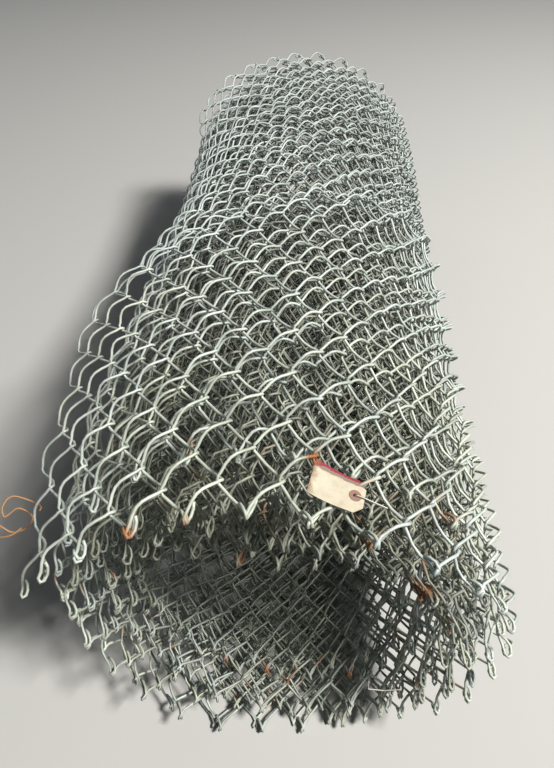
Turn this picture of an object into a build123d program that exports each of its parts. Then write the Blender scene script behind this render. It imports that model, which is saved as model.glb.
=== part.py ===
"""A used roll of chain link fencing, lying on its side on the ground.

The fabric is one woven sheet, wound loosely. It has sagged under its weight: the turns hang apart under the
crown and press together at the bottom, where the outer turn lies flat on the ground. The sheet bends only
where its wires link, so every turn is drawn in straight links. The roll is one solid with its bore, and a
spiral groove in each end shows the turns. At the front end the inner turns have slipped back under the crown
of the outer one. The free end of the sheet comes over the crown from the right and stands off the roll on the
left, as a loose flap. A card tag is tied to the crown near the front end, and two ends of old tie wire are
still caught in the fabric.

Frame: +Y along the roll, away from its front end, +X to the right seen from the front, +Z up. The origin is
the middle of the flat that the roll rests on. All sizes are in millimetres.
"""

import math
import os

from build123d import *

# The fabric
fence_height = 1524.0  # from one knuckled edge to the other, which is the length of the roll
sheet_thickness = 9.0  # of the loose sheet, over its woven wires
turns = 10.25  # from the start of the flap to the inner end of the sheet
turn_pitch = 9.1  # what each turn adds to the wall, where the turns lie into each other
turn_fill = 0.62  # the share of that pitch that the sheet fills, and the rest is a groove
links_per_turn = 36

# The sagged roll
crown_radius = 285.0  # of the round upper part
rest_width = 80.0  # the flat that lies on the ground, between the two tighter haunches
haunch_drop = 80.0  # from the middle of the crown's arc down to the middles of the haunches
squash = 0.96  # the height that is left of the roll, lying under its own weight
sag = 0.27  # the share by which the pitch grows at the crown and shrinks at the bottom
end_lean = 30.0  # how much further forward the bottom of each end stands than the crown
set_back = 50.0  # how far the inner turns stand behind the outer one, under the crown of the front end
groove_depth = 45.0  # of the spiral that shows the turns

# The loose flap: how far its edge stands off the roll, at each distance from the front end
flap_links = 7
flap_lifts = ((0.0, 34.0), (200.0, 70.0), (430.0, 84.0), (660.0, 52.0), (900.0, 6.0), (1240.0, 4.0),
              (1524.0, 42.0))
flap_rise = 1.6  # the power with which the flap leaves the roll
flap_steps = 2  # between one distance and the next

# The tag
tag_length = 58.0
tag_width = 40.0
tag_thickness = 0.8
tag_corner = 9.0  # cut off both corners at the end with the eyelet
tag_across = 55.0  # from the middle of the roll to the middle of the tag
tag_from_end = 44.0  # from the front end to the middle of the tag
tag_turn = -12.0  # the way its eyelet end points, in degrees to the left of +X
eyelet_inset = 10.0  # from the tag's end to the middle of the eyelet
eyelet_bore = 5.0
patch_width = 13.0  # the reinforcing ring round the eyelet
patch_thickness = 0.5
seat_gap = 0.3  # between pieces that lie on each other

# The ties
tie_wire = 1.6
tie_reach = 34.0  # from the eyelet to the far end of the tag's tie
flap_tie_from_end = 100.0  # from the front end to the tie left on the flap's free edge
flap_tie_reach = 44.0
core_tie_turn = 9.35  # the turn whose front edge holds the tie that crosses the mouth of the bore
core_tie_reach = 46.0

turn_angle = 360.0 / links_per_turn
rest_half = rest_width / 2
haunch_radius = crown_radius - math.hypot(rest_half, haunch_drop)
haunch_z = haunch_radius - turn_pitch / 2 * (1 - sag)
crown_z = haunch_z + haunch_drop
roll_top = squash * (crown_z + crown_radius)
haunch_start = -haunch_drop / math.hypot(rest_half, haunch_drop)


def turn_point(turn, fill=0.0, lift=0.0, right=None):
    """The point of the wound sheet after so many turns from the crown, clockwise seen from the front.

    fill moves it inwards by that share of the turn's pitch, and lift moves it outwards. At the middle of
    the flat, right says which of its two ends is meant.
    """
    angle = math.radians(90 - 360 * turn)
    across, up = math.cos(angle), math.sin(angle)
    inset = turn_pitch * (turn + fill) * (1 + sag * up) - lift
    if up >= haunch_start:
        x, z = (crown_radius - inset) * across, crown_z + (crown_radius - inset) * up
    else:
        on_right = turn % 1 < 0.5 if right is None else right
        side = rest_half if on_right else -rest_half
        x, z = side + (haunch_radius - inset) * across, haunch_z + (haunch_radius - inset) * up
    return (x, squash * z)


def wound_points(first, last, fill):
    """The corners of the spiral from one turn to another: one at each link, and both ends of each flat."""
    corners = {link / links_per_turn for link in range(math.ceil(last * links_per_turn))}
    corners |= {turn + 0.5 for turn in range(math.ceil(last))}
    points = [turn_point(first, fill)]
    for turn in sorted(corner for corner in corners if first < corner < last):
        if turn % 1 == 0.5:
            points += [turn_point(turn, fill, right=True), turn_point(turn, fill, right=False)]
        else:
            points.append(turn_point(turn, fill))
    return [*points, turn_point(last, fill)]


def outlined(points):
    """The face inside the points."""
    return make_face(Polyline(*points, close=True).edges())


def flap_lift(distance):
    """How far the flap's edge stands off the roll at a distance from the front end."""
    for (near, low), (far, high) in zip(flap_lifts, flap_lifts[1:]):
        if distance <= far:
            break
    share = (distance - near) / (far - near)
    smooth = share * share * (3 - 2 * share)
    return low + (high - low) * smooth


def flap_point(link, distance, depth=0.0):
    """The flap's corner at a link, at a distance from the front end, and so deep in its thickness."""
    lift = flap_lift(distance) * (link / flap_links) ** flap_rise
    return turn_point(-link / links_per_turn, lift=lift - depth)


def flap_section(distance, y):
    """The flap's section at a distance from the front end, standing across the roll at y."""
    outer = [flap_point(link, distance) for link in range(flap_links + 1)]
    inner = [flap_point(link, distance, sheet_thickness) for link in range(flap_links + 1)]
    return Plane.XZ.offset(-y) * outlined(outer + inner[::-1])


def make_flap():
    """The flap, a little longer than the roll, with straight runs between its sections."""
    distances = []
    for (near, low), (far, high) in zip(flap_lifts, flap_lifts[1:]):
        distances += [near + (far - near) * step / flap_steps for step in range(flap_steps)]
    distances.append(flap_lifts[-1][0])
    ys = [distance - fence_height / 2 for distance in distances]
    ys[0] -= 2 * end_lean
    ys[-1] += 2 * end_lean
    return loft([flap_section(distance, y) for distance, y in zip(distances, ys)], ruled=True)


def end_shift(z):
    """How far forward a point of the roll stands at height z, because the ends lean."""
    return end_lean * (0.5 - z / roll_top)


def outer_front(z):
    """Where the front edge of the outer turn lies at height z."""
    return -fence_height / 2 - end_shift(z)


def inner_front(z):
    """Where the front edges of the other turns lie at height z."""
    return outer_front(z) + set_back * z / roll_top


def far_edge(z):
    """Where the far edges of all turns lie at height z."""
    return fence_height / 2 - end_shift(z)


def leaning_space(front, back):
    """The space between two leaning planes, each given as y by height."""
    bottom, top = -roll_top, 2 * roll_top
    corners = ((front(bottom), bottom), (front(top), top), (back(top), top), (back(bottom), bottom))
    return extrude(Plane.YZ * outlined(corners), 3 * crown_radius, both=True)


def make_roll():
    """The wound sheet as one solid, with its bore, its flap and the turns cut into both ends."""
    outline, core, bore = (
        outlined(wound_points(first, first + 1, fill))
        for first, fill in ((0, 0), (1, 0), (turns - 1, turn_fill))
    )
    groove = outlined(wound_points(0, turns - 1, turn_fill) + wound_points(0, turns - 1, 1)[::-1])
    ring, inner_turns, grooves = (
        extrude(Plane.XZ * face, fence_height, both=True) for face in (outline - bore, core, groove)
    )
    body = ring & leaning_space(outer_front, far_edge)
    body -= inner_turns & leaning_space(lambda z: -fence_height, inner_front)
    body -= grooves & leaning_space(lambda z: -fence_height, lambda z: inner_front(z) + groove_depth)
    body -= grooves & leaning_space(lambda z: far_edge(z) - groove_depth, lambda z: fence_height)
    return body + (make_flap() & leaning_space(outer_front, far_edge))


def link_plane(x):
    """The plane just above the outer turn's link at x on the crown, with X across the roll."""
    link = math.floor(math.degrees(math.asin(x / crown_radius)) / turn_angle)
    start, end = (turn_point(corner / links_per_turn) for corner in (link, link + 1))
    slope = (end[1] - start[1]) / (end[0] - start[0])
    z = start[1] + slope * (x - start[0])
    above = Plane((x, outer_front(z), z), x_dir=(1, 0, slope), z_dir=(-slope, 0, 1))
    return above.offset(seat_gap)


def make_card():
    """The card, with two cut corners and the hole at its eyelet end."""
    card = Rectangle(tag_length, tag_width)
    card = chamfer(card.vertices().sort_by(Axis.X)[-2:], tag_corner)
    hole = Pos(tag_length / 2 - eyelet_inset, 0) * Circle(eyelet_bore / 2)
    return extrude(card - hole, tag_thickness)


def make_patch():
    """The reinforcing ring that lies on the card round its hole."""
    ring = Circle(patch_width / 2) - Circle(eyelet_bore / 2)
    return Pos(tag_length / 2 - eyelet_inset, 0, tag_thickness) * extrude(ring, patch_thickness)


def bent_wire(corners, bend_radius):
    """A tie wire along the corners, whose first run goes along Z."""
    path = FilletPolyline(*corners, radius=bend_radius)
    return sweep(Plane(corners[0], z_dir=(0, 0, 1)) * Circle(tie_wire / 2), path=path)


def make_tag_tie():
    """The tag's tie: a wire that comes up through the eyelet and lies over the tag's end."""
    eyelet = tag_length / 2 - eyelet_inset
    over = tag_thickness + patch_thickness + seat_gap + tie_wire / 2
    corners = ((eyelet, 0, 0), (eyelet, 0, over), (eyelet + eyelet_inset, 0, over),
               (eyelet + tie_reach, 0, tie_wire / 2))
    return bent_wire(corners, tie_wire)


def flap_edge_plane(distance):
    """The plane just above the flap's last link, with X towards its free edge and Z away from the roll."""
    near, edge = (flap_point(link, distance) for link in (flap_links - 1, flap_links))
    run = (edge[0] - near[0], 0, edge[1] - near[1])
    middle = ((near[0] + edge[0]) / 2, distance - fence_height / 2, (near[1] + edge[1]) / 2)
    return Plane(middle, x_dir=run, z_dir=(run[2], 0, -run[0])).offset(seat_gap)


def front_edge_plane(turn):
    """The plane just before the front edge of an inner turn, with X to the left and Z forwards."""
    x, z = turn_point(turn, turn_fill / 2)
    forwards = (0, -roll_top, end_lean + set_back)
    return Plane((x, inner_front(z), z), x_dir=(-1, 0, 0), z_dir=forwards).offset(seat_gap)


def make_loose_tie(reach):
    """An end of old tie wire that comes out of the fabric, bends over and ends in a crook."""
    rise = 3 * tie_wire
    crook = reach / 4
    corners = ((0, 0, 0), (0, 0, rise), (reach / 2, crook / 2, rise), (reach, -crook / 2, 2 * rise),
               (reach, -crook / 2 - crook, rise))
    return bent_wire(corners, 1.4 * tie_wire)


on_tag = link_plane(tag_across) * Pos(0, tag_from_end, 0) * Rot(0, 0, tag_turn)
pieces = {
    "mesh_roll": make_roll(),
    "stock_tag": on_tag * make_card(),
    "eyelet_patch": on_tag * make_patch(),
    "tag_tie": on_tag * make_tag_tie(),
    "flap_tie": flap_edge_plane(flap_tie_from_end) * make_loose_tie(flap_tie_reach),
    "core_tie": front_edge_plane(core_tie_turn) * make_loose_tie(core_tie_reach),
}

os.makedirs("parts", exist_ok=True)
for name, shape in pieces.items():
    export_step(shape, f"parts/{name}.step")
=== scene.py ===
"""The look of a used roll of chain link fencing, lying on its side.

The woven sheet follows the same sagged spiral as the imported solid. Each zigzag wire of the sheet is a tube
along a flattened helix, hooked into its neighbours and knuckled at both edges of the fabric.
"""

import math

import bmesh
import bpy
import numpy as np
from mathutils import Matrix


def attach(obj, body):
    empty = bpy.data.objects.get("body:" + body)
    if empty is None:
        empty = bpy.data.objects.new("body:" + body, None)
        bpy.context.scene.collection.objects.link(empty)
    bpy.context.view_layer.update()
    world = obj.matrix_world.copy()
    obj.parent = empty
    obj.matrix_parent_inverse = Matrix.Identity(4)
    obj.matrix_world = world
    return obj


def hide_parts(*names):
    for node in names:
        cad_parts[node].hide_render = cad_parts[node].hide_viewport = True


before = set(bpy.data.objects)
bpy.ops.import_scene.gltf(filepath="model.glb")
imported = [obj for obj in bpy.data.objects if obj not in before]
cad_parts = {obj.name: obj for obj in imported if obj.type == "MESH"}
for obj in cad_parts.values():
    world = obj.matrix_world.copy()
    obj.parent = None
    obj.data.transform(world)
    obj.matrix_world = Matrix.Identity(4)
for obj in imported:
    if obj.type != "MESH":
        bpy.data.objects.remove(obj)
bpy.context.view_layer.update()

# The photograph's height and its camera's focal length in pixels, and the camera's place and direction
IMAGE_HEIGHT = 768
FOCAL_PIXELS = 577.0
CAMERA_AT = (0.016, -1.036, 1.006)
CAMERA_PITCH = math.radians(45.0)
CAMERA_HEADING = math.radians(3.5)
SENSOR_MM = 36.0

# The sagged spiral of the sheet, in metres, as in the solid
LENGTH = 1.524
CROWN_RADIUS = 0.285
REST_HALF = 0.040
HAUNCH_DROP = 0.080
SQUASH = 0.96
LINKS = 36
TURNS = 10.25
TURN_PITCH = 0.0091
TURN_FILL = 0.62
SAG = 0.27
LOOSE_SHEET = 0.009
END_LEAN = 0.030
FLAP_TURN = 7 / LINKS
FLAP_LIFTS = ((0.0, 0.034), (0.2, 0.070), (0.43, 0.084), (0.66, 0.052), (0.9, 0.006), (1.24, 0.004),
              (1.524, 0.042))  # how far back, and how far the flap's edge stands off there
FLAP_RISE = 1.6
HAUNCH_RADIUS = CROWN_RADIUS - math.hypot(REST_HALF, HAUNCH_DROP)
HAUNCH_Z = HAUNCH_RADIUS - TURN_PITCH / 2 * (1 - SAG)
CROWN_Z = HAUNCH_Z + HAUNCH_DROP
ROLL_TOP = SQUASH * (CROWN_Z + CROWN_RADIUS)
LINE_POINTS = 9000

# What handling has done to the roll. Two numbers in a pair are where a change begins and where it is whole:
# in turns of the sheet, counted inwards from the crown, or in metres back from the front end
CROWN_GAP = 0.064  # how far the inner turns hang below the outer ones, at the front of the crown
GAP_TURNS = (1.1, 2.4)
GAP_OUTER_SHARE = 0.75  # the outer turns hang by this share of it, and the innermost by all
GAP_ENDS = (0.05, 0.55)
GAP_BEHIND = 0.15  # the share of the gap that goes on behind those ends
GAP_ROUNDNESS = 1.5
SLACK = 0.034  # how far the outer turns bulge to the left, under the flap
SLACK_TURN = 0.75  # the turn that bulges most
SLACK_FADE = 1.2  # the turns over which the bulge falls to about a third
SLACK_START = 0.5  # the bulge is whole from here inwards
SLACK_COMES, SLACK_GOES = (0.0, 0.28), (0.5, 0.95)
SLACK_AT_ENDS = 0.25
LOOSE = 0.020  # how far the outer turn stands off at the lower left of the front end
LOOSE_COMES, LOOSE_GOES = (0.45, 0.7), (0.66, 0.9)
LOOSE_ENDS = (0.1, 0.4)
CREASE = 0.032  # how far the outer turn steps down behind the crease across its crown
CREASE_AT = 0.618  # how far back the crease crosses the crown's middle
CREASE_SLOPE = 0.443
CREASE_WIDTH = 0.06
CREASE_RIDGE = 0.55  # the share of the step by which the sheet rises before it
CREASE_TURNS = (0.05, 0.35)
CREASE_ENDS = (0.9, 1.3)
TAG_DENT = 0.011  # how far the tag's tie has pulled the wires down
DENT_RADIUS = 0.040
DENT_TURNS = 0.3
FAR_DROP = 0.045  # the share by which the far end is flatter
FAR_SPLAY = 0.05  # and the share by which it is wider
FAR_FROM = 0.9
PRESSED = 0.45  # the share by which the weave is thinner where the roll rests on it
PRESSED_FACING = (0.5, 1.0)  # the downward part of the direction that the sheet faces there
SLIP_TURNS = (0.5, 0.9, 1.5, 2.0, 3.0, 5.0, 8.0, 10.3)
SLIPS = (0.0, 0.090, 0.105, 0.110, 0.105, 0.095, 0.085, 0.070)  # how far those turns stand back at the top
TERRACE = 0.006  # how far each turn stands behind the one outside it, at the bottom of the front end
TERRACE_FROM = 0.4
LEFT_SLIP = 0.034  # how far they stand back on the left
LEFT_SLIP_TURNS = (0.4, 0.7)
RAGGED_TURNS = (0.4, 1.2)

# Its waves: each has a size, a length along the sheet, a length along the roll, and a seed
RUFFLE = (0.0020, 0.5, 0.5, 3)  # in and out
RAGGED = (0.012, 0.9, 1.0, 5)  # of the turns' front edges: its first length is in turns
WANDER_ACROSS = (0.0042, 0.5, 0.35, 11)  # of the wires from their even places
WANDER_ALONG = (0.0065, 0.35, 0.5, 12)
DRAWN_ACROSS = (0.0130, 1.5, 1.1, 13)  # the sheet is drawn out of true, so that turns aren't in register
DRAWN_ALONG = (0.0078, 1.4, 1.6, 14)
DRAWN_COMES, DRAWN_GOES = (0.3, 1.3), (1.0, 0.2)  # metres from the free end, and before the inner end
RUST_CLOUDS = (1.0, 0.05, 0.06, 21)
DUST_CLOUDS = (0.35, 0.3, 0.2, 22)
SINES = 7
SINE_LENGTHS = (0.7, 1.6)  # the shortest and longest sine, as a share of the waves' length

# The weave
WIRE = 0.00375
DIAMONDS = 19
PICKET = 0.0312
DIAMOND_LENGTH = LENGTH / DIAMONDS
BEND_RADIUS = 0.0042
BOW_OUT = 0.0078  # how far a strand on the outside bows away from the sheet
BOW_IN = 0.0045  # and one on the inside
HALF_WIDTH = PICKET / 2 + WIRE / 2
KNUCKLE_ACROSS = (-0.0100, -0.0082, -0.0048, -0.0012, 0.0, -0.0005)  # point by point from the wire's tip
KNUCKLE_HEIGHT = (1.3, 0.1, -0.85, -0.95, -0.1, 0.7)  # in bend radii
KNUCKLE_ALONG = (0.0135, 0.0105, 0.0045, -0.0020, -0.0055, -0.0028)
STRAY_ACROSS = 0.0008  # how unlike each other the wires are
STRAY_ALONG = 0.0012
STRAY_HEIGHT = 0.15
STRAY_SEED = 31
STRAY_DRAWS = 2000  # how many random numbers are drawn, of which each wire takes its own
FINE_TURNS = 1.9  # up to this turn the wires are drawn more finely
FINE_WIRE = {"bend_steps": 2, "strand_steps": 3, "bow_steps": 5, "sides": 6}
PLAINER_WIRE = {"bend_steps": 1, "strand_steps": 2, "bow_steps": 2, "sides": 4}
PIECES_OF_EACH = 3

# The tag's place on the crown, as in the solid, and how its card has curled up from its underside's middle
TAG_ACROSS = 0.055
TAG_FROM_END = 0.044
TAG_TURN = math.radians(-12.0)
TAG_GAP = 0.0003
CARD_CUTS_ALONG = (0.028, 25)
CARD_CUTS_ACROSS = (0.019, 13)
CARD_HALF_WIDTH = 0.02
CURL_FROM = 0.010
CURL_LENGTH = 0.039
CURL_UP = 0.0065
CURL_TWIST = 0.0022
CURL_DISH = 0.0018

# The old tie: where it leaves the flap's edge, along the sheet and back from the front, and its bends, in mm
# right, up and near of its middle, as the photograph shows them
TIE_RADIUS = 0.00104  # with its coat of rust
TIE_LEAVES = (0.004, 0.105)
TIE_MIDDLE = (-0.336, -0.654, 0.360)
TIE_BENDS = ((22, 17, 0), (-8, 29, 6), (-19, 17, 12), (-16, 4, 12), (-1, 14, 8), (15, 3, 4), (8, -12, 2),
             (-10, -17, 6), (-25, -8, 10), (-27, -20, 14), (-8, -19, 16), (5, -10, 12))
TIE_RIGHT = (0.998, 0.061, 0.0)
TIE_UP = (-0.043, 0.706, 0.707)
TIE_STEPS, TIE_SIDES = 8, 8

# Wear on the wires, and painted shade on the inner turns
RUST_SPOTS = ((-0.018, -0.683, 0.540), (0.033, -0.673, 0.532), (-0.157, -0.750, 0.498),
              (-0.124, -0.749, 0.516), (0.179, -0.687, 0.156), (0.167, -0.716, 0.343),
              (-0.086, -0.720, 0.062), (-0.026, -0.722, 0.053),
              (0.014, -0.720, 0.053))  # where the photograph shows rusty knuckles
SPOT_RADII = (0.010, 0.019)
RUST_LEVEL = 1.75  # the clouds above this are rust
RUST_EDGE = 3.0
RUST_REACH = 0.10  # how far from the sheet's edges the rust goes
RUST_ELSEWHERE = 0.04
DUST_FADES = (0.1, 0.75)
DUST_LEVEL = 0.65
# Painted shade: the inner turns are painted darker, except low down near the front end, where light reaches
# them
LIT_FRONT_ENDS = (0.05, 0.30)
LIT_FRONT_HEIGHTS = (0.20, 0.36)
LIT_FRONT = 0.6  # how much less painted shade the low front gets than the other inner turns, where light reaches it
PAINTED_SHADE_TURNS = (0.7, 1.8)

# Colours
ZINC_DARK, ZINC_PALE = (0.43, 0.49, 0.47, 1), (0.78, 0.86, 0.84, 1)
DUST_TINT = (1.06, 1.02, 0.90, 1)
# Painted shade: the colour by which the inner turns are darkened
PAINTED_SHADE_TINT = (0.55, 0.53, 0.49, 1)
RUST_DARK, RUST_PALE = (0.17, 0.06, 0.02, 1), (0.52, 0.22, 0.08, 1)
CARD_DARK, CARD_PALE = (0.50, 0.44, 0.34, 1), (0.60, 0.54, 0.42, 1)
CARD_RED = (0.26, 0.022, 0.035, 1)
# Painted shade: a dark band below the card's red edge, standing in for the shaded underside of a curled-over
# upper edge
CARD_PAINTED_SHADE = (0.22, 0.14, 0.12, 1)
CARD_STAIN = (0.22, 0.12, 0.06, 1)

# Where they lie on the card, in mm from its middle, and how far the clouds in the card make them wander
SHADE_BAND_EDGE, RED_EDGE, EDGE_WANDER = (15.8, 16.8), (20.2, 21.0), 7.0
RED_CORNER, CORNER_SLANT = (28.0, 28.8), -0.45
STAIN_EDGE, STAIN_WANDER = (-16.0, -22.0), 14.0

# The other finishes, each with its name, colour, roughness and metal
SMALL_PARTS = {
    "eyelet_patch": ("brown_fibre", (0.30, 0.16, 0.12), 0.7, 0.0),
    "tag_tie": ("dull_wire", (0.35, 0.34, 0.30), 0.45, 0.7),
    "core_tie": ("grey_wire", (0.55, 0.52, 0.47), 0.55, 0.0),
}
OLD_TIE = ("orange_rust", (0.52, 0.27, 0.12), 0.75, 0.0)
CLOUD_SHADES = (0.8, 1.1)

# The studio: what the floor and the sky show, and what they throw back or give as light
FLOOR_HALF = 30.0
FLOOR_LIGHT, FLOOR_SEEN = (0.06, 0.06, 0.055, 1), (0.55, 0.55, 0.54, 1)
SKY_COLOUR = (0.90, 0.95, 1.0, 1)
SKY_LIGHT, SKY_SEEN = 0.035, 0.75
LAMP_AIM = (0, 0, 0.2)

# The numbers of a colour Mix node's sockets
MIX_SHARE, MIX_FIRST, MIX_SECOND, MIX_RESULT = 0, 6, 7, 2


def smooth_step(value, start, stop):
    """0 up to start, 1 from stop, and a smooth cubic between them."""
    share = np.clip((value - start) / (stop - start), 0, 1)
    return share * share * (3 - 2 * share)


def comes_and_goes(value, comes, goes):
    """Smoothly from 0 to 1 over the first pair of values, and back to 0 over the second."""
    return smooth_step(value, *comes) * (1 - smooth_step(value, *goes))


def at_least(least, share):
    """From least, where the share is 0, in a straight line to 1, where it is 1."""
    return least + (1 - least) * share


def waves(a, b, size, length_a, length_b, seed):
    """A wavy field about 0, of about the given size: the sum of sine waves of random direction and phase."""
    local = np.random.default_rng(seed)
    total = np.zeros(np.broadcast(a, b).shape)
    for _ in range(SINES):
        heading = local.uniform(0, 2 * math.pi)
        length = local.uniform(*SINE_LENGTHS)
        phase = local.uniform(0, 2 * math.pi)
        along = a / length_a * math.cos(heading) + b / length_b * math.sin(heading)
        total += np.sin(2 * math.pi * along / length + phase)
    return size * (total / math.sqrt(SINES / 2))


def unit(vectors):
    """The same vectors with length 1."""
    return vectors / np.maximum(np.linalg.norm(vectors, axis=-1, keepdims=True), 1e-12)


def spiral_table():
    """The middle line of the sheet in section, from its free end inwards.

    At turn t it faces along 90 - 360 t degrees, on an arc round the crown's middle above and on arcs round
    the two haunches' middles below. It is moved inwards by the pitch times t, more at the crown and less at
    the bottom, and the whole is squashed in height. Returns the length along it, x, z, the two parts of its
    outward direction, and the turn.
    """
    turn = np.linspace(-FLAP_TURN, TURNS, LINE_POINTS)
    angle = np.radians(90 - 360 * turn)
    out_x, out_z = np.cos(angle), np.sin(angle)
    middle = np.where(turn < 0, LOOSE_SHEET / 2, TURN_PITCH * TURN_FILL / 2 * (1 + SAG * out_z))
    inset = TURN_PITCH * turn * (1 + SAG * out_z) + middle
    upper = out_z >= -HAUNCH_DROP / (CROWN_RADIUS - HAUNCH_RADIUS)
    middle_x = np.where(upper, 0.0, np.copysign(REST_HALF, out_x))
    middle_z = np.where(upper, CROWN_Z, HAUNCH_Z)
    radius = np.where(upper, CROWN_RADIUS, HAUNCH_RADIUS) - inset
    x = middle_x + radius * out_x
    z = SQUASH * (middle_z + radius * out_z)
    along = np.concatenate([[0.0], np.cumsum(np.hypot(np.diff(x), np.diff(z)))])
    return along, x, z, out_x, out_z, turn


ALONG, LINE_X, LINE_Z, OUT_X, OUT_Z, LINE_TURN = spiral_table()
SHEET_LENGTH = float(ALONG[-1])


def flap_lift(turn, v):
    """How far the flap stands off the roll: a power of the way to its edge, times its edge's lift.

    The edge's lift follows FLAP_LIFTS along the roll, by a smooth cubic from each to the next.
    """
    back, lift = np.array(FLAP_LIFTS).T
    index = np.clip(np.searchsorted(back, v, side="right") - 1, 0, len(back) - 2)
    share = smooth_step(v, back[index], back[index + 1])
    edge = lift[index] + (lift[index + 1] - lift[index]) * share
    return edge * np.clip(-turn / FLAP_TURN, 0, 1) ** FLAP_RISE


def crown_gap(turn, v, out_z):
    """How far the inner turns hang down under the outer ones.

    It sets in smoothly over the first turns and then grows evenly to the innermost. It is a power of how far
    the sheet faces up, and falls smoothly from the front end backwards.
    """
    below = smooth_step(turn, *GAP_TURNS) * at_least(GAP_OUTER_SHARE, turn / TURNS)
    hollow = 1 - smooth_step(v, *GAP_ENDS)
    return CROWN_GAP * below * np.clip(out_z, 0, 1) ** GAP_ROUNDNESS * at_least(GAP_BEHIND, hollow)


def left_bulge(turn, v, out_x):
    """How far the turns bulge to the left under the flap.

    It falls by an exponential to both sides of one turn, grows with the square of how far the sheet faces
    left, and rises and falls along the roll.
    """
    slack = SLACK * np.exp(-np.abs(turn - SLACK_TURN) / SLACK_FADE) * np.clip(turn / SLACK_START, 0, 1)
    middle = comes_and_goes(v, SLACK_COMES, SLACK_GOES)
    return slack * np.clip(-out_x, 0, 1) ** 2 * at_least(SLACK_AT_ENDS, middle)


def loose_bottom(turn, v):
    """How far the outer turn stands off at the lower left of the front end: a hump over its turns."""
    return LOOSE * comes_and_goes(turn, LOOSE_COMES, LOOSE_GOES) * (1 - smooth_step(v, *LOOSE_ENDS))


def crown_crease(turn, x, v, out_z):
    """How far the crease across the crown lifts or drops the outer turn.

    It is a bell-shaped ridge along a slanted line and a smooth step down behind it, and it fades to the sides
    and towards the far end.
    """
    behind = v - (CREASE_AT + CREASE_SLOPE * x)
    on_crown = np.clip(out_z, 0, 1) * (1 - smooth_step(turn, *CREASE_TURNS))
    ridge = CREASE_RIDGE * np.exp(-(((behind + CREASE_WIDTH / 2) / CREASE_WIDTH) ** 2))
    step = smooth_step(behind, 0, CREASE_WIDTH)
    return CREASE * on_crown * (ridge - step) * (1 - smooth_step(v, *CREASE_ENDS))


def tag_dent(turn, x, v):
    """How far the tag's tie pulls the outer turn down: a flat-bottomed bell round the tag's place."""
    away = np.hypot(x - TAG_ACROSS, v - TAG_FROM_END)
    return TAG_DENT * np.exp(-((away / DENT_RADIUS) ** 4)) * (np.abs(turn) < DENT_TURNS)


def slip_back(turn, v, high, out_x):
    """How far a turn stands back: most at the front end, and in proportion less to none at the far end.

    At the top it follows SLIPS, at the bottom it is a terrace, and more on the left.
    """
    slip = np.interp(turn, SLIP_TURNS, SLIPS) * high
    slip += TERRACE * np.maximum(turn - TERRACE_FROM, 0) * (1 - high)
    slip += LEFT_SLIP * np.clip(-out_x, 0, 1) ** 2 * smooth_step(turn, *LEFT_SLIP_TURNS)
    return slip * (1 - v / LENGTH)


def above_ground(z):
    """The same height, but under a wire's thickness it nears half a wire by an exponential.

    The exponent is kept from -8 to 0.
    """
    low = WIRE / 2
    return np.where(z < 2 * low, low + np.exp(np.clip(z / low - 2, -8, 0)) * low, z)


def sheet_point(s, v, h):
    """The place of a point s along the sheet, v from its front edge and h outwards from its middle.

    The spiral's point is moved along its outward direction by h and by all that lifts or drops the sheet.
    Then the far end is made flatter and wider, and the point is moved along the roll by the lean of the
    ends, the slip of the turns and their raggedness. What would reach below the ground is kept above it.
    """
    lines = (LINE_X, LINE_Z, OUT_X, OUT_Z, LINE_TURN)
    x, z, out_x, out_z, turn = (np.interp(s, ALONG, line) for line in lines)
    under = smooth_step(-out_z, *PRESSED_FACING)
    lift = flap_lift(turn, v)
    lift += waves(s, v, *RUFFLE) * (1 - under)
    lift -= crown_gap(turn, v, out_z)
    lift += left_bulge(turn, v, out_x)
    lift += loose_bottom(turn, v)
    lift += crown_crease(turn, x, v, out_z)
    lift -= tag_dent(turn, x, v)
    off = h * (1 - PRESSED * under) + lift
    far = smooth_step(v, FAR_FROM, LENGTH)
    px = (x + out_x * off) * (1 + FAR_SPLAY * far)
    pz = (z + out_z * off) * (1 - FAR_DROP * far)
    lean = END_LEAN * (0.5 - pz / ROLL_TOP)
    back = slip_back(turn, v, np.clip(pz / ROLL_TOP, 0, 1) ** 3, out_x)
    ragged = waves(turn, turn * 0, *RAGGED) * smooth_step(turn, *RAGGED_TURNS)
    py = v - LENGTH / 2 - lean + back + ragged
    return np.stack([px, py, above_ground(pz)], axis=-1)


def half_wave(bend_steps, strand_steps, bow):
    """One half of a zigzag wire's wave, from the left bend's outermost point to the right one's.

    In section it is half of a stadium: a quarter circle, a strand that bows outwards by a sine, and a
    quarter circle. It moves along the fabric in proportion to its length in section. Returns the distance
    across, the height and the share of the half wave.
    """
    straight = HALF_WIDTH - BEND_RADIUS
    quarter = np.linspace(0, math.pi / 2, bend_steps + 1)
    share = np.linspace(0, 1, strand_steps + 1)[1:-1]
    left_x = -straight - BEND_RADIUS * np.cos(quarter)
    left_h = BEND_RADIUS * np.sin(quarter)
    middle_x = -straight + 2 * straight * share
    middle_h = BEND_RADIUS + bow * np.sin(math.pi * share)
    x = np.concatenate([left_x, middle_x, -left_x[::-1]])
    h = np.concatenate([left_h, middle_h, left_h[::-1]])
    step = np.hypot(np.diff(x), np.diff(h))
    travel = np.concatenate([[0.0], np.cumsum(step)])
    return x, h, travel / travel[-1]


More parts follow.
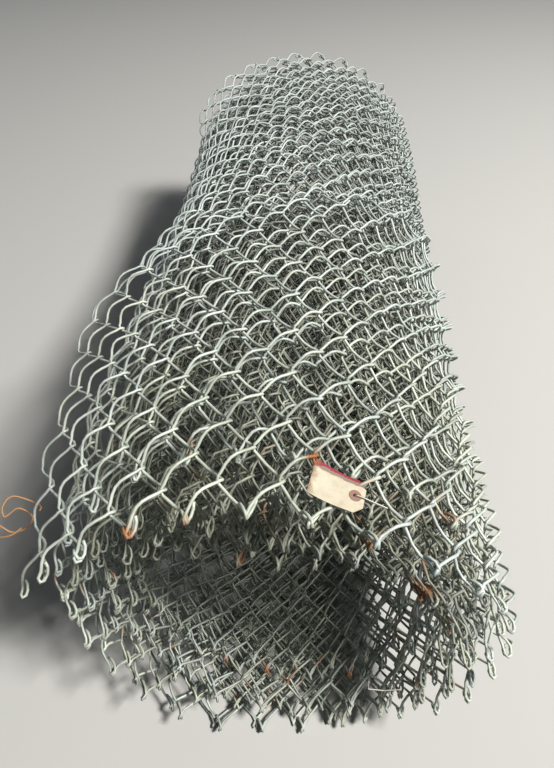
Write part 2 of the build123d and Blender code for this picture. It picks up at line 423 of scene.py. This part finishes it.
def picket_template(odd, bend_steps, strand_steps, bow_steps):
    """The path of one zigzag wire, knuckle to knuckle: distance across, height and distance along.

    An even wire starts at its left bend and an odd one at its right bend. Front strands rise to the right
    and back strands to the left. The fourth result says what the first axis of the wire's section is kept
    square to: 0 is the direction along the roll, and 1 or -1, at the knuckles, is the one across it.
    """
    outer = half_wave(bend_steps, bow_steps, BOW_OUT)
    inner = half_wave(bend_steps, strand_steps, BOW_IN)
    xs, hs, ys = [], [], []
    halves = 2 * DIAMONDS
    for k in range(halves):
        front = (k % 2 == 0) != odd
        across, height, share = outer if front else inner
        x = across if front else -across
        h = height if front else -height
        y = (k + share) * DIAMOND_LENGTH / 2
        first = bend_steps if k == 0 else 1
        last = len(x) - bend_steps if k == halves - 1 else len(x)
        xs.append(x[first:last])
        hs.append(h[first:last])
        ys.append(y[first:last])
    x, h, y = (np.concatenate(c) for c in (xs, hs, ys))
    side = 1.0 if odd else -1.0
    knuckle_x = side * (HALF_WIDTH + np.array(KNUCKLE_ACROSS))
    knuckle_h = -side * BEND_RADIUS * np.array(KNUCKLE_HEIGHT)
    knuckle_y = np.array(KNUCKLE_ALONG)
    x = np.concatenate([knuckle_x, x, knuckle_x[::-1]])
    h = np.concatenate([knuckle_h, h, -knuckle_h[::-1]])
    y = np.concatenate([knuckle_y, y, LENGTH - knuckle_y[::-1]])
    square_to = np.zeros(len(x))
    square_to[: len(knuckle_x)] = side
    square_to[-len(knuckle_x) :] = -side
    return x, h, y, square_to


def uneven_places(wires, odd, x, h, y):
    """The wires' points in the sheet: how far along it, from its front edge and outwards from its middle.

    To each even place come slow waves, a pull out of true away from the sheet's two ends, and one random
    shift for each wire.
    """
    s = (wires[:, None] + 0.5) * PICKET + x[None, :]
    v = np.broadcast_to(y[None, :], s.shape)
    stray = np.random.default_rng(STRAY_SEED + odd).normal(0, 1, (3, STRAY_DRAWS))[:, wires][:, :, None]
    drawn = comes_and_goes(s, DRAWN_COMES, SHEET_LENGTH - np.array(DRAWN_GOES))
    s = s + waves(s, v, *WANDER_ACROSS) + STRAY_ACROSS * stray[0]
    s = s + drawn * waves(s, v, *DRAWN_ACROSS)
    v = v + waves(s, v, *WANDER_ALONG) + STRAY_ALONG * stray[1]
    v = v + drawn * waves(s, v, *DRAWN_ALONG)
    h = np.broadcast_to(h[None, :], s.shape) * (1 + STRAY_HEIGHT * stray[2])
    return np.clip(s, 0.0, SHEET_LENGTH), v, h


def wear_and_painted_shade(s, v, places):
    """How rusty and dusty the wires' points are, and how much painted shade they get, each from 0 to 1.

    Rust is what rises out of fine clouds near the sheet's two edges, and balls round the rusty knuckles. Dust
    lies in clouds at the front. The inner turns get painted shade, and less of it where they are low and near
    the front, where light reaches them.
    """
    near_edge = np.clip(1 - np.minimum(v, LENGTH - v) / RUST_REACH, 0, 1)
    rusty = np.clip((waves(s, v, *RUST_CLOUDS) - RUST_LEVEL) * RUST_EDGE, 0, 1)
    rusty = rusty * at_least(RUST_ELSEWHERE, near_edge)
    for centre in RUST_SPOTS:
        away = np.linalg.norm(places - np.array(centre), axis=-1)
        rusty = np.maximum(rusty, 1 - smooth_step(away, *SPOT_RADII))
    dusty = (1 - smooth_step(v, *DUST_FADES)) * (DUST_LEVEL + waves(s, v, *DUST_CLOUDS))
    # Painted shade on the inner turns, less where they are low near the front, where light reaches them
    lit_front = (1 - smooth_step(v, *LIT_FRONT_ENDS)) * (1 - smooth_step(places[..., 2], *LIT_FRONT_HEIGHTS))
    painted_shade = smooth_step(np.interp(s, ALONG, LINE_TURN), *PAINTED_SHADE_TURNS) * (1 - LIT_FRONT * lit_front)
    return {"rust": rusty, "dust": dusty, "painted_shade": painted_shade}


def tube_rings(paths, reference, radius, sides):
    """The vertices of round tubes: at each point of each path, a circle of points square to the path.

    paths is wires by points by 3, and reference is a direction at each point that the path never follows.
    """
    ahead = np.empty_like(paths)
    ahead[:, 1:-1] = paths[:, 2:] - paths[:, :-2]
    ahead[:, 0] = paths[:, 1] - paths[:, 0]
    ahead[:, -1] = paths[:, -1] - paths[:, -2]
    ahead = unit(ahead)
    first = unit(np.cross(reference, ahead))
    second = np.cross(ahead, first)
    angles = np.arange(sides) * 2 * math.pi / sides
    circle = np.cos(angles)[:, None] * first[:, :, None, :] + np.sin(angles)[:, None] * second[:, :, None, :]
    return paths[:, :, None, :] + radius * circle


def tube_faces(wires, points, sides):
    """The corner numbers of the tubes' side faces, as rows of 4, and of their end caps, as rows of sides."""
    wire = np.arange(wires)[:, None, None] * points * sides
    ring = np.arange(points - 1)[None, :, None] * sides
    side = np.arange(sides)[None, None, :]
    following = (side + 1) % sides
    low = wire + ring
    quads = np.stack([low + side, low + following, low + sides + following, low + sides + side], axis=-1)
    start = np.arange(wires)[:, None] * points * sides + np.arange(sides)[None, ::-1]
    end = np.arange(wires)[:, None] * points * sides + (points - 1) * sides + np.arange(sides)[None, :]
    return quads.reshape(-1, 4), np.concatenate([start, end])


def add_layer(mesh, label, values):
    """A layer of the mesh with one number for each vertex."""
    layer = mesh.attributes.new(label, "FLOAT", "POINT")
    layer.data.foreach_set("value", values.astype(np.float32).ravel())


def add_object(name, data):
    """A new object of the scene, at the origin, with this mesh, lamp or camera as its data."""
    made = bpy.data.objects.new(name, data)
    bpy.context.collection.objects.link(made)
    return made


def build_mesh(name, vertices, face_sets, layers):
    """A smooth mesh object from vertices, sets of faces with one number of corners each, and layers."""
    mesh = bpy.data.meshes.new(name)
    flat = vertices.reshape(-1, 3)
    mesh.vertices.add(len(flat))
    mesh.vertices.foreach_set("co", flat.astype(np.float32).ravel())
    corners = np.concatenate([faces.ravel() for faces in face_sets])
    sizes = np.concatenate([np.full(len(faces), faces.shape[1]) for faces in face_sets])
    mesh.loops.add(len(corners))
    mesh.loops.foreach_set("vertex_index", corners.astype(np.int32))
    mesh.polygons.add(len(sizes))
    starts = np.concatenate([[0], np.cumsum(sizes)[:-1]])
    mesh.polygons.foreach_set("loop_start", starts.astype(np.int32))
    mesh.polygons.foreach_set("use_smooth", np.ones(len(sizes), dtype=bool))
    for label, values in layers.items():
        add_layer(mesh, label, values)
    mesh.update(calc_edges=True)
    mesh.validate()
    return add_object(name, mesh)


def fabric_piece(name, numbers, bend_steps, strand_steps, bow_steps, sides):
    """The zigzag wires of the given numbers, counted from the free end of the sheet, as one mesh."""
    rings, faces, caps = [], [], []
    layers = {"rust": [], "dust": [], "painted_shade": []}
    base = 0
    for odd in (False, True):
        wires = numbers[numbers % 2 == odd]
        x, h, y, square_to = picket_template(odd, bend_steps, strand_steps, bow_steps)
        s, v, h = uneven_places(wires, odd, x, h, y)
        paths = sheet_point(s, v, h)
        across = unit(np.stack([np.interp(s, ALONG, OUT_Z), 0 * s, -np.interp(s, ALONG, OUT_X)], axis=-1))
        square_to = square_to[None, :, None]
        reference = np.where(square_to == 0, (0.0, 1.0, 0.0), across * square_to)
        for label, values in wear_and_painted_shade(s, v, paths).items():
            layers[label].append(np.repeat(values[..., None], sides, axis=-1).ravel())
        side_faces, cap_faces = tube_faces(len(wires), len(x), sides)
        rings.append(tube_rings(paths, reference, WIRE / 2, sides).reshape(-1, 3))
        faces.append(side_faces + base)
        caps.append(cap_faces + base)
        base += len(wires) * len(x) * sides
    layers = {label: np.concatenate(values) for label, values in layers.items()}
    piece = build_mesh(name, np.concatenate(rings), [np.concatenate(faces), np.concatenate(caps)], layers)
    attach(piece, "root")
    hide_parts("mesh_roll")
    return piece


def make_fabric():
    """The whole sheet: finer tubes on the flap and the two outer turns, plainer ones inside."""
    count = int(SHEET_LENGTH / PICKET)
    outer = int(np.interp(FINE_TURNS, LINE_TURN, ALONG) / PICKET)
    zinc = new_material("weathered_zinc_and_painted_shade", weathered_zinc_and_painted_shade)
    groups = [(wires, FINE_WIRE) for wires in np.array_split(np.arange(outer), PIECES_OF_EACH)]
    groups += [(wires, PLAINER_WIRE) for wires in np.array_split(np.arange(outer, count), PIECES_OF_EACH)]
    for number, (wires, drawing) in enumerate(groups, 1):
        piece = fabric_piece(f"woven_fabric_{number}", wires, **drawing)
        piece.data.materials.append(zinc)


def tag_frame():
    """The middle of the card's underside, and the directions along it, across it and out of it."""
    link = math.floor(math.degrees(math.asin(TAG_ACROSS / CROWN_RADIUS)) * LINKS / 360)
    turn = np.array([link, link + 1]) / LINKS
    angle = np.radians(90 - 360 * turn)
    radius = CROWN_RADIUS - TURN_PITCH * turn * (1 + SAG * np.sin(angle))
    x = radius * np.cos(angle)
    z = SQUASH * (CROWN_Z + radius * np.sin(angle))
    slope = (z[1] - z[0]) / (x[1] - x[0])
    height = z[0] + slope * (TAG_ACROSS - x[0])
    front = -LENGTH / 2 - END_LEAN * (0.5 - height / ROLL_TOP)
    right = unit(np.array([1.0, 0.0, slope]))
    out = unit(np.array([-slope, 0.0, 1.0]))
    back = np.array([0.0, 1.0, 0.0])
    middle = np.array([TAG_ACROSS, front + TAG_FROM_END, height]) + out * TAG_GAP
    along = right * math.cos(TAG_TURN) + back * math.sin(TAG_TURN)
    return middle, along, np.cross(out, along), out


def curled_card():
    """The tag's card, cut into small squares and curled up at the end away from its eyelet.

    The curl grows with the square of the way to that end. It is twisted up to one side and dished in the
    middle, both in proportion to that way.
    """
    middle, along, across, out = tag_frame()
    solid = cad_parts["stock_tag"]
    shape = bmesh.new()
    shape.from_mesh(solid.data)
    shape.transform(solid.matrix_world)
    for way, (reach, cuts) in ((along, CARD_CUTS_ALONG), (across, CARD_CUTS_ACROSS)):
        for distance in np.linspace(-reach, reach, cuts):
            everything = shape.verts[:] + shape.edges[:] + shape.faces[:]
            bmesh.ops.bisect_plane(shape, geom=everything, plane_co=middle + way * distance, plane_no=way)
    mesh = bpy.data.meshes.new("curled_card")
    shape.to_mesh(mesh)
    shape.free()
    points = np.empty(len(mesh.vertices) * 3, dtype=np.float32)
    mesh.vertices.foreach_get("co", points)
    points = points.reshape(-1, 3).astype(float)
    a = (points - middle) @ along
    b = (points - middle) @ across
    free = np.clip((CURL_FROM - a) / CURL_LENGTH, 0, 1)
    sideways = b / CARD_HALF_WIDTH
    curl = CURL_UP * free**2 + CURL_TWIST * free * sideways - CURL_DISH * free * (1 - sideways**2)
    points += out * curl[:, None]
    mesh.vertices.foreach_set("co", points.astype(np.float32).ravel())
    add_layer(mesh, "along", a * 1000)
    add_layer(mesh, "across", b * 1000)
    mesh.update()
    card = add_object("curled_card", mesh)
    mesh.materials.clear()
    mesh.materials.append(new_material("worn_card_and_painted_shade", worn_card_and_painted_shade))
    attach(card, "root")
    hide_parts("stock_tag")


def smooth_curve(points, steps):
    """A smooth path through points, with that many steps from each to the next.

    Between two points it is the cubic whose slope at each is half the way between its neighbours.
    """
    padded = np.concatenate([points[:1], points, points[-1:]])
    spot = np.linspace(0, len(points) - 1, (len(points) - 1) * steps + 1)
    index = np.minimum(spot.astype(int), len(points) - 2)
    share = (spot - index)[:, None]
    before, first, second, after = (padded[index + k] for k in range(4))
    slope = second - before
    bend = 2 * before - 5 * first + 4 * second - after
    twist = 3 * first - before - 3 * second + after
    return first + 0.5 * share * (slope + share * (bend + share * twist))


def curled_tie():
    """The old tie on the flap's edge: a rusty wire that leaves the edge and curls up in two loose loops."""
    s, v = (np.array([distance]) for distance in TIE_LEAVES)
    start = sheet_point(s, v, np.array([0.0]))
    right = np.array(TIE_RIGHT)
    up = unit(np.array(TIE_UP))
    near = np.cross(right, up)
    bends = np.array(TIE_BENDS) / 1000
    path = smooth_curve(np.concatenate([start, TIE_MIDDLE + bends @ np.array([right, up, near])]), TIE_STEPS)
    reference = np.broadcast_to(near, path.shape)[None]
    rings = tube_rings(path[None], reference, TIE_RADIUS, TIE_SIDES)
    piece = build_mesh("curled_tie", rings, tube_faces(1, len(path), TIE_SIDES), {})
    piece.data.materials.append(cloudy_finish(*OLD_TIE))
    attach(piece, "root")
    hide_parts("flap_tie")


def finish_small_parts():
    """The tag's patch and the ties keep their solids, with their own finishes."""
    for name, finish in SMALL_PARTS.items():
        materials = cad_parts[name].data.materials
        materials.clear()
        materials.append(cloudy_finish(*finish))


def feed(tree, socket, value):
    """Set a socket to the value, or link it from the value if that is a socket itself."""
    if isinstance(value, bpy.types.NodeSocket):
        tree.links.new(value, socket)
    else:
        socket.default_value = value


def node(tree, kind, inputs=None, **settings):
    """A new node of the tree with its settings and, by name or number, what feeds its inputs."""
    made = tree.nodes.new(kind)
    for key, value in settings.items():
        setattr(made, key, value)
    for name, value in (inputs or {}).items():
        feed(tree, made.inputs[name], value)
    return made


def object_place(tree):
    """The place on the object, in metres."""
    return node(tree, "ShaderNodeTexCoord").outputs["Object"]


def layer_value(tree, label):
    """The number that a layer of the mesh holds."""
    return node(tree, "ShaderNodeAttribute", attribute_name=label).outputs["Fac"]


def clouds(tree, scale, detail, roughness=0.5):
    """Noise over the object's own coordinates, with that many clouds to the metre."""
    inputs = {"Vector": object_place(tree), "Scale": scale, "Detail": detail, "Roughness": roughness}
    return node(tree, "ShaderNodeTexNoise", inputs)


def toned(tree, value, dark, pale, start=0.0, stop=1.0):
    """A colour that goes from dark at start to pale at stop."""
    ramp = node(tree, "ShaderNodeValToRGB", {"Fac": value})
    low, high = ramp.color_ramp.elements
    low.position, high.position = start, stop
    low.color, high.color = dark, pale
    return ramp.outputs["Color"]


def mixed(tree, share, first, second, blend_type="MIX"):
    """The first colour, which goes over to the second, or is multiplied by it, with the share."""
    inputs = {MIX_SHARE: share, MIX_FIRST: first, MIX_SECOND: second}
    return node(tree, "ShaderNodeMix", inputs, data_type="RGBA", blend_type=blend_type).outputs[MIX_RESULT]


def ranged(tree, value, start=0.0, stop=1.0, low=0.0, high=1.0):
    """From low, where the value is at start, in a straight line to high at stop, and level past both."""
    inputs = {"Value": value, "From Min": start, "From Max": stop, "To Min": low, "To Max": high}
    return node(tree, "ShaderNodeMapRange", inputs).outputs["Result"]


def larger(tree, first, second):
    """The larger of two values."""
    return node(tree, "ShaderNodeMath", {0: first, 1: second}, operation="MAXIMUM").outputs[0]


def times_plus(tree, value, factor, more):
    """The value times the factor, plus more."""
    return node(tree, "ShaderNodeMath", {0: value, 1: factor, 2: more}, operation="MULTIPLY_ADD").outputs[0]


def raised(tree, height, strength, distance):
    """The surface's direction, with the height as fine relief."""
    inputs = {"Height": height, "Strength": strength, "Distance": distance}
    return node(tree, "ShaderNodeBump", inputs).outputs["Normal"]


def new_material(name, finish):
    """A new material, whose shader's inputs come from the finish: a function of the node tree."""
    material = bpy.data.materials.new(name)
    material.use_nodes = True
    tree = material.node_tree
    shader = tree.nodes["Principled BSDF"]
    for socket, value in finish(tree).items():
        feed(tree, shader.inputs[socket], value)
    return material


def weathered_zinc_and_painted_shade(tree):
    """Grey-green zinc in cloudy patches, with dust, orange rust and painted shade where the layers say."""
    patches = clouds(tree, scale=22.0, detail=4.0, roughness=0.6)
    speckle = clouds(tree, scale=420.0, detail=3.0, roughness=0.65)
    rust = layer_value(tree, "rust")
    zinc = toned(tree, patches.outputs["Fac"], ZINC_DARK, ZINC_PALE, start=0.32, stop=0.66)
    mottled = mixed(tree, 0.35, zinc, speckle.outputs["Color"], "MULTIPLY")
    dusty = mixed(tree, layer_value(tree, "dust"), mottled, DUST_TINT, "MULTIPLY")
    # Painted shade: the inner turns are multiplied darker
    with_painted_shade = mixed(tree, layer_value(tree, "painted_shade"), dusty, PAINTED_SHADE_TINT, "MULTIPLY")
    return {
        "Base Color": mixed(tree, rust, with_painted_shade, toned(tree, speckle.outputs["Fac"], RUST_DARK, RUST_PALE)),
        "Metallic": ranged(tree, rust, low=0.12, high=0.0),
        "Roughness": ranged(tree, speckle.outputs["Fac"], low=0.36, high=0.60),
        "Normal": raised(tree, speckle.outputs["Fac"], strength=0.25, distance=0.0004),
        "Specular IOR Level": 0.3,
    }


def worn_card_and_painted_shade(tree):
    """Manila card with a red edge and corner, a dark band of painted shade below the edge, and a stain at its
    free end.
    """
    blotches = clouds(tree, scale=110.0, detail=5.0, roughness=0.65).outputs["Fac"]
    grain = clouds(tree, scale=1500.0, detail=3.0).outputs["Fac"]
    along, across = layer_value(tree, "along"), layer_value(tree, "across")
    card = toned(tree, blotches, CARD_DARK, CARD_PALE, start=0.3, stop=0.6)
    edge = times_plus(tree, blotches, EDGE_WANDER, across)
    # Painted shade: a dark band below the red edge, standing in for the shaded underside of a curled-over
    # upper edge
    with_shade_band = mixed(tree, ranged(tree, edge, *SHADE_BAND_EDGE, high=0.9), card, CARD_PAINTED_SHADE)
    corner = ranged(tree, times_plus(tree, along, CORNER_SLANT, edge), *RED_CORNER)
    red = larger(tree, ranged(tree, edge, *RED_EDGE), corner)
    edged = mixed(tree, red, with_shade_band, CARD_RED)
    stain = ranged(tree, times_plus(tree, blotches, STAIN_WANDER, along), *STAIN_EDGE, high=0.8)
    return {
        "Base Color": mixed(tree, stain, edged, CARD_STAIN),
        "Roughness": 0.8,
        "Normal": raised(tree, grain, strength=0.2, distance=0.0002),
    }


def cloudy_finish(name, colour, roughness, metal):
    """A simple finish: one colour with a little cloudiness."""
    dark, pale = (tuple(min(1.0, shade * c) for c in colour) + (1,) for shade in CLOUD_SHADES)

    def finish(tree):
        tone = toned(tree, clouds(tree, scale=90.0, detail=3.0).outputs["Fac"], dark, pale)
        return {"Base Color": tone, "Roughness": roughness, "Metallic": metal}

    return new_material(name, finish)


def seen_directly(tree):
    """A value that is 1 for what the camera sees, directly or by gloss or glass, and 0 for other light."""
    path = node(tree, "ShaderNodeLightPath").outputs
    seen = larger(tree, path["Is Camera Ray"], path["Is Glossy Ray"])
    return larger(tree, seen, path["Is Transmission Ray"])


def pale_floor(tree):
    """Pale to the eye, and darker for the light that it throws back."""
    return {"Base Color": mixed(tree, seen_directly(tree), FLOOR_LIGHT, FLOOR_SEEN), "Roughness": 1.0}


def make_floor():
    """A plain square floor, centred under the roll."""
    mesh = bpy.data.meshes.new("floor")
    corners = [(x * FLOOR_HALF, y * FLOOR_HALF, 0) for x, y in ((-1, -1), (1, -1), (1, 1), (-1, 1))]
    mesh.from_pydata(corners, [], [(0, 1, 2, 3)])
    mesh.materials.append(new_material("pale_floor", pale_floor))
    add_object("floor", mesh)


def area_light(name, place, size, power, colour):
    """A square lamp at place, facing the roll."""
    data = bpy.data.lights.new(name, "AREA")
    data.shape = "SQUARE"
    data.size = size
    data.energy = power
    data.color = colour
    lamp = add_object(name, data)
    way = np.array(LAMP_AIM) - np.array(place)
    flat = math.hypot(way[0], way[1])
    lamp.location = place
    lamp.rotation_euler = (math.atan2(flat, -way[2]), 0, math.atan2(-way[0], way[1]))


def make_lights():
    """A strong lamp high on the right and a little in front, a weak one behind on the left, and a dim sky."""
    area_light("key", place=(4.0, -1.4, 5.4), size=1.2, power=690, colour=(1.0, 0.975, 0.92))
    area_light("fill", place=(-3.4, 2.6, 4.6), size=2.5, power=18, colour=(0.88, 0.94, 1.0))
    world = bpy.data.worlds.new("studio")
    bpy.context.scene.world = world
    world.use_nodes = True
    tree = world.node_tree
    sky = tree.nodes["Background"].inputs
    feed(tree, sky["Color"], SKY_COLOUR)
    feed(tree, sky["Strength"], ranged(tree, seen_directly(tree), low=SKY_LIGHT, high=SKY_SEEN))


def make_camera():
    """The photograph's camera, looking down at the front end of the roll."""
    data = bpy.data.cameras.new("camera")
    data.sensor_fit = "AUTO"
    data.sensor_width = SENSOR_MM
    data.lens = FOCAL_PIXELS / IMAGE_HEIGHT * data.sensor_width
    camera = add_object("camera", data)
    camera.location = CAMERA_AT
    camera.rotation_euler = (math.pi / 2 - CAMERA_PITCH, 0, CAMERA_HEADING)
    bpy.context.scene.camera = camera


bpy.context.scene.view_settings.view_transform = "Standard"
make_camera()
make_fabric()
curled_card()
curled_tie()
finish_small_parts()
make_floor()
make_lights()
